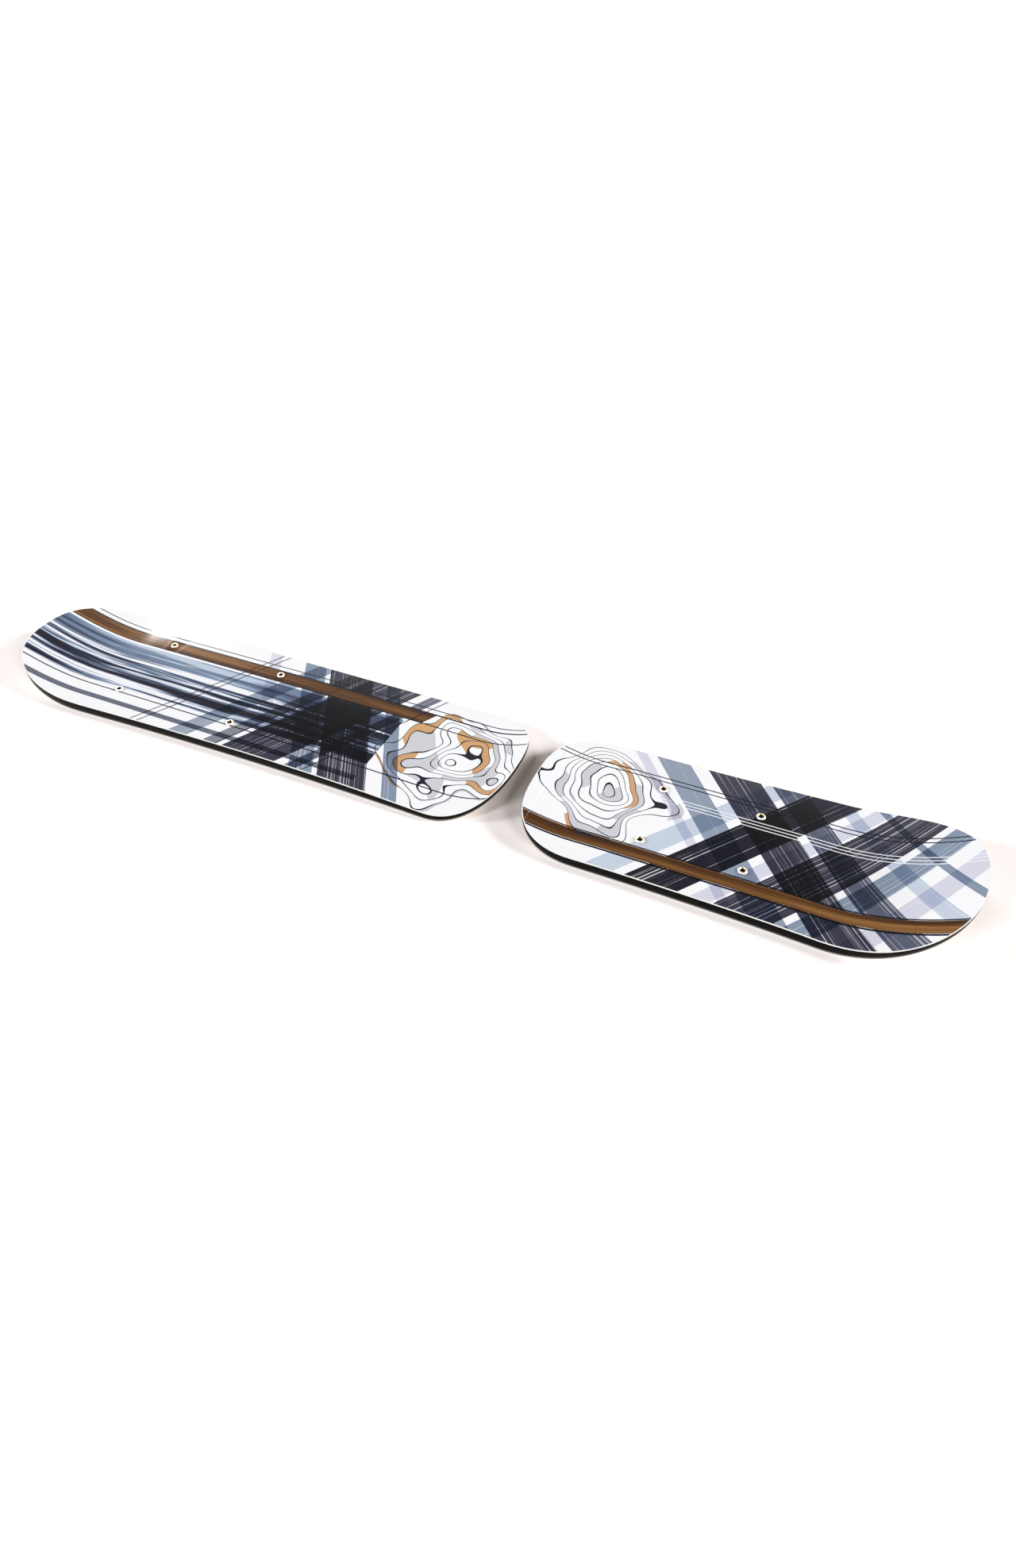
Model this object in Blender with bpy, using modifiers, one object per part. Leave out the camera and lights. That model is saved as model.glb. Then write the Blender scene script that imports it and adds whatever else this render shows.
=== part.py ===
"""Pair of powder skis, a long one and a short one, lying base down in line.

Metres, +Z up, +X towards the tips. The origin is on the floor, under the middle of the pair.
Each ski is a bonded sandwich: polyethylene base inside two steel edges, glass-fibre laminates
above and below a core of wood stringers, plastic spacers in tail and tip, two plastic sidewalls
and a topsheet. Four threaded inserts stand in the core, and each holds one cross-recess screw.
"""
from collections import namedtuple
from math import pi, radians

import bmesh
import bpy
import numpy as np

# Long ski: plan, as full widths measured across the ski
LONG_LENGTH = 0.900
LONG_TAIL_WIDTH = 0.2755
LONG_WAIST_WIDTH = 0.2365
LONG_TIP_WIDTH = 0.246
LONG_TAIL_ROUND = 0.214
LONG_TIP_ROUND = 0.099
LONG_TAIL_EXPONENT = 2.57
LONG_TIP_EXPONENT = 2.38

# Long ski: early rise of both ends
LONG_TAIL_RISE = 0.0405
LONG_TAIL_RISE_LENGTH = 0.164
LONG_TIP_RISE = 0.0265
LONG_TIP_RISE_LENGTH = 0.092

# Long ski: rectangle of four inserts, and its centre measured from mid length
LONG_INSERT_SPACING = 0.223
LONG_INSERT_GAUGE = 0.1365
LONG_INSERT_CENTRE = -0.122

# Short ski: the same sizes
SHORT_LENGTH = 0.586
SHORT_TAIL_WIDTH = 0.248
SHORT_WAIST_WIDTH = 0.244
SHORT_TIP_WIDTH = 0.273
SHORT_TAIL_ROUND = 0.120
SHORT_TIP_ROUND = 0.166
SHORT_TAIL_EXPONENT = 2.83
SHORT_TIP_EXPONENT = 2.36
SHORT_TAIL_RISE = 0.0205
SHORT_TAIL_RISE_LENGTH = 0.095
SHORT_TIP_RISE = 0.0675
SHORT_TIP_RISE_LENGTH = 0.170
SHORT_INSERT_SPACING = 0.138
SHORT_INSERT_GAUGE = 0.107
SHORT_INSERT_CENTRE = -0.050

# Free floor between the long ski's tip and the short ski's tail
SKI_TO_SKI = 0.029

# Sandwich, from the floor up
MID_THICKNESS = 0.0155
END_THICKNESS = 0.0075
BASE_THICKNESS = 0.0022
LAMINATE_THICKNESS = 0.0008
TOPSHEET_THICKNESS = 0.0008
BOND_GAP = 0.0003

# Pieces round the rim and in the core
EDGE_WIDTH = 0.0022
SIDEWALL_WIDTH = 0.008
STRINGER_COUNT = 6
TAIL_SPACER_LENGTH = 0.065
TIP_SPACER_LENGTH = 0.070
MOUNT_ZONE_MARGIN = 0.040
SEAT_CLEARANCE = 0.015

# Inserts and screws
SCREW_RADIUS = 0.003
SCREW_LENGTH = 0.008
HEAD_RADIUS = 0.0065
HEAD_RIM = 0.0009
HEAD_SHOULDER_RADIUS = 0.004
HEAD_SHOULDER_HEIGHT = 0.002
HEAD_HEIGHT = 0.0024
RECESS_SPAN = 0.0056
RECESS_SLOT = 0.0012
RECESS_DEPTH = 0.0014
INSERT_RADIUS = 0.005
INSERT_FLANGE_RADIUS = 0.009
INSERT_FLANGE_THICKNESS = 0.0015

# Fineness of the faceted shapes
ROUND_STEPS = 12
SIDE_STEPS = 6
RISE_STEPS = 6
FLAT_STEPS = 3
TURN_STEPS = 12
CORNER_ANGLE = radians(35)

# Points nearer than this are one point, and faces within this angle are one flat face
MERGE_DISTANCE = 1e-6
FLAT_ANGLE = radians(0.1)

Ski = namedtuple("Ski", "name length tail_width waist_width tip_width tail_round tip_round "
                 "tail_exponent tip_exponent tail_rise tail_rise_length tip_rise "
                 "tip_rise_length insert_spacing insert_gauge insert_centre")

LONG_SKI = Ski("long_ski", LONG_LENGTH, LONG_TAIL_WIDTH, LONG_WAIST_WIDTH, LONG_TIP_WIDTH,
               LONG_TAIL_ROUND, LONG_TIP_ROUND, LONG_TAIL_EXPONENT, LONG_TIP_EXPONENT,
               LONG_TAIL_RISE, LONG_TAIL_RISE_LENGTH, LONG_TIP_RISE, LONG_TIP_RISE_LENGTH,
               LONG_INSERT_SPACING, LONG_INSERT_GAUGE, LONG_INSERT_CENTRE)
SHORT_SKI = Ski("short_ski", SHORT_LENGTH, SHORT_TAIL_WIDTH, SHORT_WAIST_WIDTH, SHORT_TIP_WIDTH,
                SHORT_TAIL_ROUND, SHORT_TIP_ROUND, SHORT_TAIL_EXPONENT, SHORT_TIP_EXPONENT,
                SHORT_TAIL_RISE, SHORT_TAIL_RISE_LENGTH, SHORT_TIP_RISE, SHORT_TIP_RISE_LENGTH,
                SHORT_INSERT_SPACING, SHORT_INSERT_GAUGE, SHORT_INSERT_CENTRE)

# Heights of each layer above the ski's underside, from the ski's thickness at that place
LOWER_LAMINATE_BOTTOM = BASE_THICKNESS + BOND_GAP
CORE_BOTTOM = LOWER_LAMINATE_BOTTOM + LAMINATE_THICKNESS + BOND_GAP
UPPER_LAMINATE_DEPTH = TOPSHEET_THICKNESS + BOND_GAP + LAMINATE_THICKNESS
SIDEWALL_DEPTH = TOPSHEET_THICKNESS + BOND_GAP
CORE_DEPTH = UPPER_LAMINATE_DEPTH + BOND_GAP

Layer = namedtuple("Layer", "bottom bottom_follows top top_follows")
BASE_LAYER = Layer(0.0, False, BASE_THICKNESS, False)
LOWER_LAYER = Layer(LOWER_LAMINATE_BOTTOM, False, LOWER_LAMINATE_BOTTOM + LAMINATE_THICKNESS, False)
CORE_LAYER = Layer(CORE_BOTTOM, False, -CORE_DEPTH, True)
UPPER_LAYER = Layer(-UPPER_LAMINATE_DEPTH, True, -SIDEWALL_DEPTH, True)
SIDEWALL_LAYER = Layer(LOWER_LAMINATE_BOTTOM, False, -SIDEWALL_DEPTH, True)
TOPSHEET_LAYER = Layer(-TOPSHEET_THICKNESS, True, 0.0, True)

for old in list(bpy.data.objects):
    bpy.data.objects.remove(old, do_unlink=True)

parts = bpy.data.collections.new("powder_skis")
cutters = bpy.data.collections.new("cutters")
bpy.context.scene.collection.children.link(parts)
bpy.context.scene.collection.children.link(cutters)


def material(name, colour, roughness, metallic):
    """Principled material in one plain colour."""
    made = bpy.data.materials.new(name)
    made.use_nodes = True
    shader = made.node_tree.nodes["Principled BSDF"]
    shader.inputs["Base Color"].default_value = (*colour, 1.0)
    shader.inputs["Roughness"].default_value = roughness
    shader.inputs["Metallic"].default_value = metallic
    return made


TOPSHEET = material("glossy_white_topsheet", (0.80, 0.81, 0.84), 0.15, 0.0)
SIDEWALL = material("black_abs", (0.012, 0.012, 0.014), 0.45, 0.0)
STEEL = material("edge_steel", (0.56, 0.55, 0.53), 0.30, 1.0)
BASE = material("natural_polyethylene", (0.72, 0.69, 0.60), 0.35, 0.0)
GLASS_FIBRE = material("glass_fibre_laminate", (0.55, 0.58, 0.42), 0.30, 0.0)
POPLAR = material("poplar_stringer", (0.62, 0.45, 0.26), 0.55, 0.0)
ASH = material("ash_stringer", (0.48, 0.31, 0.15), 0.55, 0.0)
SPACER = material("grey_abs_spacer", (0.18, 0.19, 0.20), 0.50, 0.0)
INSERT = material("stainless_insert", (0.60, 0.60, 0.60), 0.25, 1.0)
NICKEL = material("nickel_plated_screw", (0.70, 0.66, 0.58), 0.20, 1.0)


def half_width(ski, x):
    """Half of the ski's width at x: one shallow curve through tail, waist and tip widths."""
    along = 2 * x / ski.length
    slope = (ski.tip_width - ski.tail_width) / 2
    flare = (ski.tip_width + ski.tail_width) / 2 - ski.waist_width
    return (ski.waist_width + slope * along + flare * along ** 2) / 2


def left_outline(ski, inset):
    """Plan points from the tail end round the left side to the tip end, set in by inset."""
    tail_start = ski.tail_round - ski.length / 2
    tip_start = ski.length / 2 - ski.tip_round
    turn = np.linspace(0, pi / 2, ROUND_STEPS + 1)
    tail_x = tail_start - (ski.tail_round - inset) * np.sin(turn) ** (2 / ski.tail_exponent)
    tip_x = tip_start + (ski.tip_round - inset) * np.sin(turn) ** (2 / ski.tip_exponent)
    tail_y = (half_width(ski, tail_x) - inset) * np.cos(turn) ** (2 / ski.tail_exponent)
    tip_y = (half_width(ski, tip_x) - inset) * np.cos(turn) ** (2 / ski.tip_exponent)
    side_x = np.linspace(tail_start, tip_start, SIDE_STEPS + 1)[1:-1]
    side_y = half_width(ski, side_x) - inset
    x = np.concatenate([tail_x[::-1], side_x, tip_x])
    y = np.concatenate([tail_y[::-1], side_y, tip_y])
    y[0] = 0.0
    y[-1] = 0.0
    return list(zip(x, y))


def whole_outline(ski, inset):
    """Closed plan outline: the left side, then the right side back to the tail."""
    left = left_outline(ski, inset)
    return left + [(x, -y) for x, y in left[-2:0:-1]]


def left_band(ski, outer_inset, inner_inset):
    """Closed plan outline of a band along the left rim, from tail end to tip end."""
    return left_outline(ski, outer_inset) + left_outline(ski, inner_inset)[::-1]


def contact_ends(ski):
    """Where the underside leaves the floor, at the tail and at the tip."""
    return ski.tail_rise_length - ski.length / 2, ski.length / 2 - ski.tip_rise_length


def mount_zone(ski):
    """Tail end and tip end of the flat, full-thickness zone round the inserts."""
    reach = ski.insert_spacing / 2 + MOUNT_ZONE_MARGIN
    return ski.insert_centre - reach, ski.insert_centre + reach


def stations(ski):
    """Places along the ski where its underside and its top change slope.

    Two more, clear of the screw heads, leave one whole flat face between the screws.
    """
    tail_contact, tip_contact = contact_ends(ski)
    zone_tail, zone_tip = mount_zone(ski)
    seat_reach = ski.insert_spacing / 2 - SEAT_CLEARANCE
    places = np.concatenate([np.linspace(-ski.length / 2, tail_contact, RISE_STEPS + 1),
                             [zone_tail, ski.insert_centre - seat_reach],
                             [ski.insert_centre + seat_reach, zone_tip],
                             np.linspace(zone_tip, tip_contact, FLAT_STEPS + 1),
                             np.linspace(tip_contact, ski.length / 2, RISE_STEPS + 1)])
    return np.unique(places)


def underside(ski, x):
    """Height of the ski's underside: flat on the floor, with both ends curving up."""
    tail_contact, tip_contact = contact_ends(ski)
    tail = np.clip((tail_contact - x) / ski.tail_rise_length, 0, None)
    tip = np.clip((x - tip_contact) / ski.tip_rise_length, 0, None)
    return ski.tail_rise * tail ** 2 + ski.tip_rise * tip ** 2


def thickness(ski, x):
    """Thickness of the whole sandwich: full round the inserts, thinning to both ends."""
    zone_tail, zone_tip = mount_zone(ski)
    to_tail = np.clip((zone_tail - x) / (zone_tail + ski.length / 2), 0, 1)
    to_tip = np.clip((x - zone_tip) / (ski.length / 2 - zone_tip), 0, 1)
    return MID_THICKNESS - (MID_THICKNESS - END_THICKNESS) * (to_tail ** 2 + to_tip ** 2)


def slab(name, outline):
    """Flat prism one unit thick over an outline, as a bmesh; its z is set later by bend."""
    curve = bpy.data.curves.new(name, "CURVE")
    curve.dimensions = "2D"
    curve.fill_mode = "BOTH"
    curve.extrude = 0.5
    spline = curve.splines.new("POLY")
    spline.points.add(len(outline) - 1)
    for point, (x, y) in zip(spline.points, outline):
        point.co = (x, y, 0, 1)
    spline.use_cyclic_u = True
    guide = bpy.data.objects.new(name, curve)
    cutters.objects.link(guide)
    mesh = bpy.data.meshes.new_from_object(guide.evaluated_get(bpy.context.evaluated_depsgraph_get()))
    body = bmesh.new()
    body.from_mesh(mesh)
    bmesh.ops.remove_doubles(body, verts=body.verts, dist=MERGE_DISTANCE)
    bmesh.ops.dissolve_limit(body, angle_limit=FLAT_ANGLE, verts=body.verts, edges=body.edges)
    bpy.data.objects.remove(guide)
    bpy.data.curves.remove(curve)
    bpy.data.meshes.remove(mesh)
    return body


def trim(body, point, away):
    """Cut the body at a plane, drop the side that away points to and close the cut."""
    geometry = body.verts[:] + body.edges[:] + body.faces[:]
    bmesh.ops.bisect_plane(body, geom=geometry, dist=1e-7, plane_co=point, plane_no=away,
                           clear_outer=True)
    rims = [edge for edge in body.edges if edge.is_boundary]
    bmesh.ops.holes_fill(body, edges=rims, sides=0)


def bend(body, ski, layer):
    """Set the flat prism to a layer's heights, and to the curve of the ski's underside."""
    places = stations(ski)
    for place in places[1:-1]:
        geometry = body.verts[:] + body.edges[:] + body.faces[:]
        bmesh.ops.bisect_plane(body, geom=geometry, dist=1e-7, plane_co=(place, 0, 0),
                               plane_no=(1, 0, 0))
    floor_heights = underside(ski, places)
    thicknesses = thickness(ski, places)
    for vert in body.verts:
        thick = np.interp(vert.co.x, places, thicknesses)
        is_top = vert.co.z > 0
        height = layer.top if is_top else layer.bottom
        follows = layer.top_follows if is_top else layer.bottom_follows
        vert.co.z = np.interp(vert.co.x, places, floor_heights) + height + follows * thick


def piece(name, mesh, finish, parent, location=(0, 0, 0)):
    """Put a mesh in the parts collection under its ski, with its material."""
    made = bpy.data.objects.new(name, mesh)
    made.parent = parent
    made.location = location
    if not mesh.materials:
        mesh.materials.append(finish)
    parts.objects.link(made)
    return made


def layer_piece(name, body, ski, layer, finish, parent):
    """Bend a flat prism into its layer and make it a piece."""
    bend(body, ski, layer)
    bmesh.ops.recalc_face_normals(body, faces=body.faces)
    mesh = bpy.data.meshes.new(name)
    body.to_mesh(mesh)
    body.free()
    return piece(name, mesh, finish, parent)


def turned_mesh(name, profile):
    """Closed turned body, from a profile that runs from the axis or the bore down and back."""
    mesh = bpy.data.meshes.new(name + "_profile")
    edges = [(index, index + 1) for index in range(len(profile) - 1)]
    mesh.from_pydata([(radius, 0, height) for radius, height in profile], edges, [])
    guide = bpy.data.objects.new(name, mesh)
    cutters.objects.link(guide)
    screw = guide.modifiers.new("turn", "SCREW")
    screw.steps = TURN_STEPS
    screw.render_steps = TURN_STEPS
    screw.use_merge_vertices = True
    screw.merge_threshold = MERGE_DISTANCE
    bpy.context.view_layer.update()
    made = bpy.data.meshes.new_from_object(guide.evaluated_get(bpy.context.evaluated_depsgraph_get()))
    bpy.data.objects.remove(guide)
    body = bmesh.new()
    body.from_mesh(made)
    bmesh.ops.remove_doubles(body, verts=body.verts, dist=MERGE_DISTANCE)
    bmesh.ops.recalc_face_normals(body, faces=body.faces)
    body.to_mesh(made)
    body.free()
    made.name = name
    return made


def cut(target, cutter):
    """Subtract a cutter from a piece."""
    boolean = target.modifiers.new("cut_" + cutter.name, "BOOLEAN")
    boolean.operation = "DIFFERENCE"
    boolean.solver = "EXACT"
    boolean.object = cutter


def hidden(made, parent=None):
    """Keep a cutter out of the built parts."""
    made.hide_render = True
    made.display_type = "WIRE"
    made.parent = parent
    cutters.objects.link(made)
    return made


def smooth(made):
    """Shade a round piece smooth, with its corners kept sharp."""
    made.data.shade_smooth()
    made.data.set_sharp_from_angle(angle=CORNER_ANGLE)


def insert_places(ski):
    """Plan places of the four inserts: tail right, tail left, tip right, tip left."""
    return [(ski.insert_centre + end * ski.insert_spacing / 2, side * ski.insert_gauge / 2)
            for end in (-1, 1) for side in (-1, 1)]


def pocket_cutter(ski, parent):
    """Four stepped holes for the inserts, through core, upper laminate and topsheet."""
    overshoot = MID_THICKNESS
    wall = INSERT_RADIUS + BOND_GAP
    ledge = CORE_BOTTOM + INSERT_FLANGE_THICKNESS + BOND_GAP
    bottom = CORE_BOTTOM - BOND_GAP / 2
    profile = [(0, MID_THICKNESS + overshoot), (wall, MID_THICKNESS + overshoot), (wall, ledge),
               (INSERT_FLANGE_RADIUS + BOND_GAP, ledge), (INSERT_FLANGE_RADIUS + BOND_GAP, bottom),
               (0, bottom)]
    one = turned_mesh("pocket", profile)
    body = bmesh.new()
    for x, y in insert_places(ski):
        known = len(body.verts)
        body.from_mesh(one)
        body.verts.ensure_lookup_table()
        bmesh.ops.translate(body, verts=body.verts[known:], vec=(x, y, 0))
    mesh = bpy.data.meshes.new(ski.name + "_insert_pockets")
    body.to_mesh(mesh)
    body.free()
    return hidden(bpy.data.objects.new(mesh.name, mesh), parent)


def insert_mesh():
    """Threaded insert: a flanged sleeve, flush with the topsheet, its bore clear of the screw."""
    bore = SCREW_RADIUS + BOND_GAP
    flange_top = CORE_BOTTOM + INSERT_FLANGE_THICKNESS
    profile = [(bore, MID_THICKNESS), (INSERT_RADIUS, MID_THICKNESS), (INSERT_RADIUS, flange_top),
               (INSERT_FLANGE_RADIUS, flange_top), (INSERT_FLANGE_RADIUS, CORE_BOTTOM),
               (bore, CORE_BOTTOM), (bore, MID_THICKNESS)]
    return turned_mesh("insert", profile)


def screw_mesh():
    """Low domed screw with a cross recess; its head's seat is at z = 0."""
    profile = [(0, HEAD_HEIGHT), (HEAD_SHOULDER_RADIUS, HEAD_SHOULDER_HEIGHT),
               (HEAD_RADIUS, HEAD_RIM), (HEAD_RADIUS, 0), (SCREW_RADIUS, 0),
               (SCREW_RADIUS, -SCREW_LENGTH), (0, -SCREW_LENGTH)]
    blank = bpy.data.objects.new("screw_blank", turned_mesh("screw_blank", profile))
    cutters.objects.link(blank)
    for name, size in (("recess_along", (RECESS_SPAN, RECESS_SLOT)),
                       ("recess_across", (RECESS_SLOT, RECESS_SPAN))):
        slot = bmesh.new()
        bmesh.ops.create_cube(slot, size=1.0)
        bmesh.ops.scale(slot, vec=(*size, 2 * RECESS_DEPTH), verts=slot.verts)
        bmesh.ops.translate(slot, vec=(0, 0, HEAD_HEIGHT), verts=slot.verts)
        mesh = bpy.data.meshes.new(name)
        slot.to_mesh(mesh)
        slot.free()
        cut(blank, hidden(bpy.data.objects.new(name, mesh)))
    bpy.context.view_layer.update()
    made = bpy.data.meshes.new_from_object(blank.evaluated_get(bpy.context.evaluated_depsgraph_get()))
    bpy.data.objects.remove(blank)
    return made


def build_core(ski, parent, pockets):
    """Wood stringers side by side, between a plastic spacer in the tail and one in the tip."""
    rim = SIDEWALL_WIDTH + BOND_GAP
    tail_joint = TAIL_SPACER_LENGTH - ski.length / 2
    tip_joint = ski.length / 2 - TIP_SPACER_LENGTH

    tail = slab("tail_spacer", whole_outline(ski, rim))
    trim(tail, (tail_joint - BOND_GAP / 2, 0, 0), (1, 0, 0))
    layer_piece(ski.name + "_tail_spacer", tail, ski, CORE_LAYER, SPACER, parent)

    tip = slab("tip_spacer", whole_outline(ski, rim))
    trim(tip, (tip_joint + BOND_GAP / 2, 0, 0), (-1, 0, 0))
    layer_piece(ski.name + "_tip_spacer", tip, ski, CORE_LAYER, SPACER, parent)

    core_width = ski.waist_width - 2 * rim
    joints = np.linspace(-core_width / 2, core_width / 2, STRINGER_COUNT + 1)
    for index in range(STRINGER_COUNT):
        name = f"{ski.name}_stringer_{index + 1}"
        strip = slab(name, whole_outline(ski, rim))
        trim(strip, (tail_joint + BOND_GAP / 2, 0, 0), (-1, 0, 0))
        trim(strip, (tip_joint - BOND_GAP / 2, 0, 0), (1, 0, 0))
        if index > 0:
            trim(strip, (0, joints[index] + BOND_GAP / 2, 0), (0, -1, 0))
        if index < STRINGER_COUNT - 1:
            trim(strip, (0, joints[index + 1] - BOND_GAP / 2, 0), (0, 1, 0))
        wood = ASH if index in (1, STRINGER_COUNT - 2) else POPLAR
        made = layer_piece(name, strip, ski, CORE_LAYER, wood, parent)
        cut(made, pockets)


def build_rim(ski, parent):
    """Steel edges and sidewalls: a left and a right half each, meeting at tail and tip."""
    bands = (("edge", 0.0, EDGE_WIDTH, BASE_LAYER, STEEL),
             ("sidewall", 0.0, SIDEWALL_WIDTH, SIDEWALL_LAYER, SIDEWALL))
    for kind, outer, inner, layer, finish in bands:
        for side, sign in (("left", 1), ("right", -1)):
            name = f"{ski.name}_{kind}_{side}"
            body = slab(name, [(x, sign * y) for x, y in left_band(ski, outer, inner)])
            trim(body, (0, sign * BOND_GAP / 2, 0), (0, -sign, 0))
            layer_piece(name, body, ski, layer, finish, parent)


def build_ski(ski, x, insert_shape, screw_shape):
    """All pieces of one ski, under an empty that stands where the ski lies."""
    parent = bpy.data.objects.new(ski.name, None)
    parent.location = (x, 0, 0)
    parts.objects.link(parent)
    pockets = pocket_cutter(ski, parent)

    base = slab("base", whole_outline(ski, EDGE_WIDTH + BOND_GAP))
    layer_piece(ski.name + "_running_base", base, ski, BASE_LAYER, BASE, parent)
    build_rim(ski, parent)

    inside_walls = whole_outline(ski, SIDEWALL_WIDTH + BOND_GAP)
    layer_piece(ski.name + "_lower_laminate", slab("lower", inside_walls), ski, LOWER_LAYER,
                GLASS_FIBRE, parent)
    build_core(ski, parent, pockets)
    upper = layer_piece(ski.name + "_upper_laminate", slab("upper", inside_walls), ski, UPPER_LAYER,
                        GLASS_FIBRE, parent)
    cut(upper, pockets)
    topsheet = layer_piece(ski.name + "_topsheet", slab("topsheet", whole_outline(ski, 0.0)), ski,
                           TOPSHEET_LAYER, TOPSHEET, parent)
    cut(topsheet, pockets)

    for index, (insert_x, insert_y) in enumerate(insert_places(ski), start=1):
        insert = piece(f"{ski.name}_insert_{index}", insert_shape, INSERT, parent,
                       (insert_x, insert_y, 0))
        smooth(insert)
        screw = piece(f"{ski.name}_screw_{index}", screw_shape, NICKEL, parent,
                      (insert_x, insert_y, MID_THICKNESS + BOND_GAP))
        smooth(screw)


pair_length = LONG_LENGTH + SKI_TO_SKI + SHORT_LENGTH
shared_insert = insert_mesh()
shared_screw = screw_mesh()
build_ski(LONG_SKI, (LONG_LENGTH - pair_length) / 2, shared_insert, shared_screw)
build_ski(SHORT_SKI, (pair_length - SHORT_LENGTH) / 2, shared_insert, shared_screw)
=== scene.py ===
"""Looks of the pair of powder skis: a long one and a short one, lying base down in line.

Metres, +Z up, +X towards the tips, the origin on the floor under the middle of the pair.
"""

from math import cos, pi, radians, sin
from types import SimpleNamespace

import bmesh
import bpy
import numpy as np
from mathutils import Matrix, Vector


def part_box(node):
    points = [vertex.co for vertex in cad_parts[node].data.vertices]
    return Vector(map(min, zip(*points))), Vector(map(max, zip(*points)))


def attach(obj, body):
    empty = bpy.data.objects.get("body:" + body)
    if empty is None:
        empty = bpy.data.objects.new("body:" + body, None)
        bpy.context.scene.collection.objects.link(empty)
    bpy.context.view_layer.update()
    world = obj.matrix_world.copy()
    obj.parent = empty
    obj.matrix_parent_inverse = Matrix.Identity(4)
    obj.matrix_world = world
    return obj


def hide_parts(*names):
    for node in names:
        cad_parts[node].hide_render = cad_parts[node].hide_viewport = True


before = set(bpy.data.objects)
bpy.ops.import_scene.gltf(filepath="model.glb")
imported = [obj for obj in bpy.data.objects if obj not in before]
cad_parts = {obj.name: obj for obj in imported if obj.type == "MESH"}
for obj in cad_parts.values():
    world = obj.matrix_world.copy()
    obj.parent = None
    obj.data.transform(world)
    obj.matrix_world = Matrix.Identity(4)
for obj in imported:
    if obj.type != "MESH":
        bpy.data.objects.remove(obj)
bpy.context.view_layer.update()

# Camera. A plain camera stands to the right of the pair, beside the short ski, and looks down and
# back towards the long ski. Its focal length is in pixels of the photograph.
PHOTO_HEIGHT_PX = 1975
FOCAL_PX = 1107.3
SENSOR_MM = 36.0
CLIP_START = 0.01
CAMERA_PLACE = (0.5330, -0.8579, 0.8714)
CAMERA_HEADING = radians(25.306)
CAMERA_DOWN = radians(42.831)
CAMERA_ROLL = radians(-1.279)

camera_data = bpy.data.cameras.new("camera")
camera_data.sensor_width = SENSOR_MM
camera_data.lens = SENSOR_MM * FOCAL_PX / PHOTO_HEIGHT_PX
camera_data.clip_start = CLIP_START
camera = bpy.data.objects.new("camera", camera_data)
camera.matrix_world = (Matrix.Translation(CAMERA_PLACE)
                       @ Matrix.Rotation(CAMERA_HEADING, 4, "Z")
                       @ Matrix.Rotation(pi / 2 - CAMERA_DOWN, 4, "X")
                       @ Matrix.Rotation(CAMERA_ROLL, 4, "Z"))
bpy.context.scene.collection.objects.link(camera)
bpy.context.scene.camera = camera


# Floor and light. A seamless sweep of faintly pink paper, lit low from all round by soft boxes that
# give the shadow in the gap its edges. Eye and gloss see the walls and the open paper as white, and
# a face close to the paper is lit through it, so that the running bases show from below.
PAPER = "#FFF8F6"
PAPER_SIZE = 900.0
PAPER_DROP = 0.0002
PAPER_GAIN = 1.41
PAPER_BOUNCE = 0.75
CONTACT = 0.010
CONTACT_GLOW = 0.8
WALLS = "#FFFFFF"
WALL_LIGHT = 0.04

# Name and strength, then breadth, bearing from the tips and height above the floor in degrees
LAMPS = (("tip_back_box", 2.80, 15, 20, 21), ("tip_front_box", 0.94, 20, 335, 30),
         ("back_left_box", 1.70, 20, 140, 12), ("front_left_lamp", 1.00, 16, 235, 27),
         ("left_box", 1.74, 12, 205, 19), ("front_top_lamp", 0.20, 12, 233, 64))


def linear(colour):
    """A colour of the form #RRGGBB as linear red, green, blue and alpha."""
    values = [int(colour[at:at + 2], 16) / 255 for at in (1, 3, 5)]
    return [v / 12.92 if v <= 0.04045 else ((v + 0.055) / 1.055) ** 2.4 for v in values] + [1.0]


def add(tree, kind, links=None, **settings):
    """Add a node with its settings; links gives its inputs, as values or as other sockets."""
    made = tree.nodes.new(kind)
    for name, value in settings.items():
        setattr(made, name, value)
    for name, value in (links or {}).items():
        if isinstance(value, bpy.types.NodeSocket):
            tree.links.new(value, made.inputs[name])
        else:
            made.inputs[name].default_value = value
    return made


def bare_material(name):
    """A new material with an empty node tree."""
    made = bpy.data.materials.new(name)
    made.use_nodes = True
    made.node_tree.nodes.clear()
    return made


# Matt paper: no gloss of its own, faintly pink in the shadows, and clear when seen from below
paper = bare_material("white_backdrop_paper")
tree = paper.node_tree
ray = add(tree, "ShaderNodeLightPath")
side = add(tree, "ShaderNodeNewGeometry")
seen = add(tree, "ShaderNodeMath", {0: ray.outputs["Is Camera Ray"], 1: ray.outputs["Is Glossy Ray"]},
           operation="MAXIMUM")
gain = add(tree, "ShaderNodeMapRange", {"Value": seen.outputs[0], "To Min": PAPER_BOUNCE,
                                        "To Max": PAPER_GAIN})
tone = add(tree, "ShaderNodeVectorMath", {0: linear(PAPER)[:3], "Scale": gain.outputs[0]},
           operation="SCALE")
diffuse = add(tree, "ShaderNodeBsdfDiffuse", {"Color": tone.outputs[0]})
touching = add(tree, "ShaderNodeMapRange", {"Value": ray.outputs["Ray Length"], "From Max": CONTACT,
                                            "To Min": 1.0, "To Max": 0.0})
glow = add(tree, "ShaderNodeEmission", {"Strength": CONTACT_GLOW})
lit = add(tree, "ShaderNodeMixShader", {0: touching.outputs[0], 1: diffuse.outputs[0],
                                        2: glow.outputs[0]})
clear = add(tree, "ShaderNodeBsdfTransparent")
sheet = add(tree, "ShaderNodeMixShader", {0: side.outputs["Backfacing"], 1: lit.outputs[0],
                                          2: clear.outputs[0]})
add(tree, "ShaderNodeOutputMaterial", {"Surface": sheet.outputs[0]})

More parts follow.
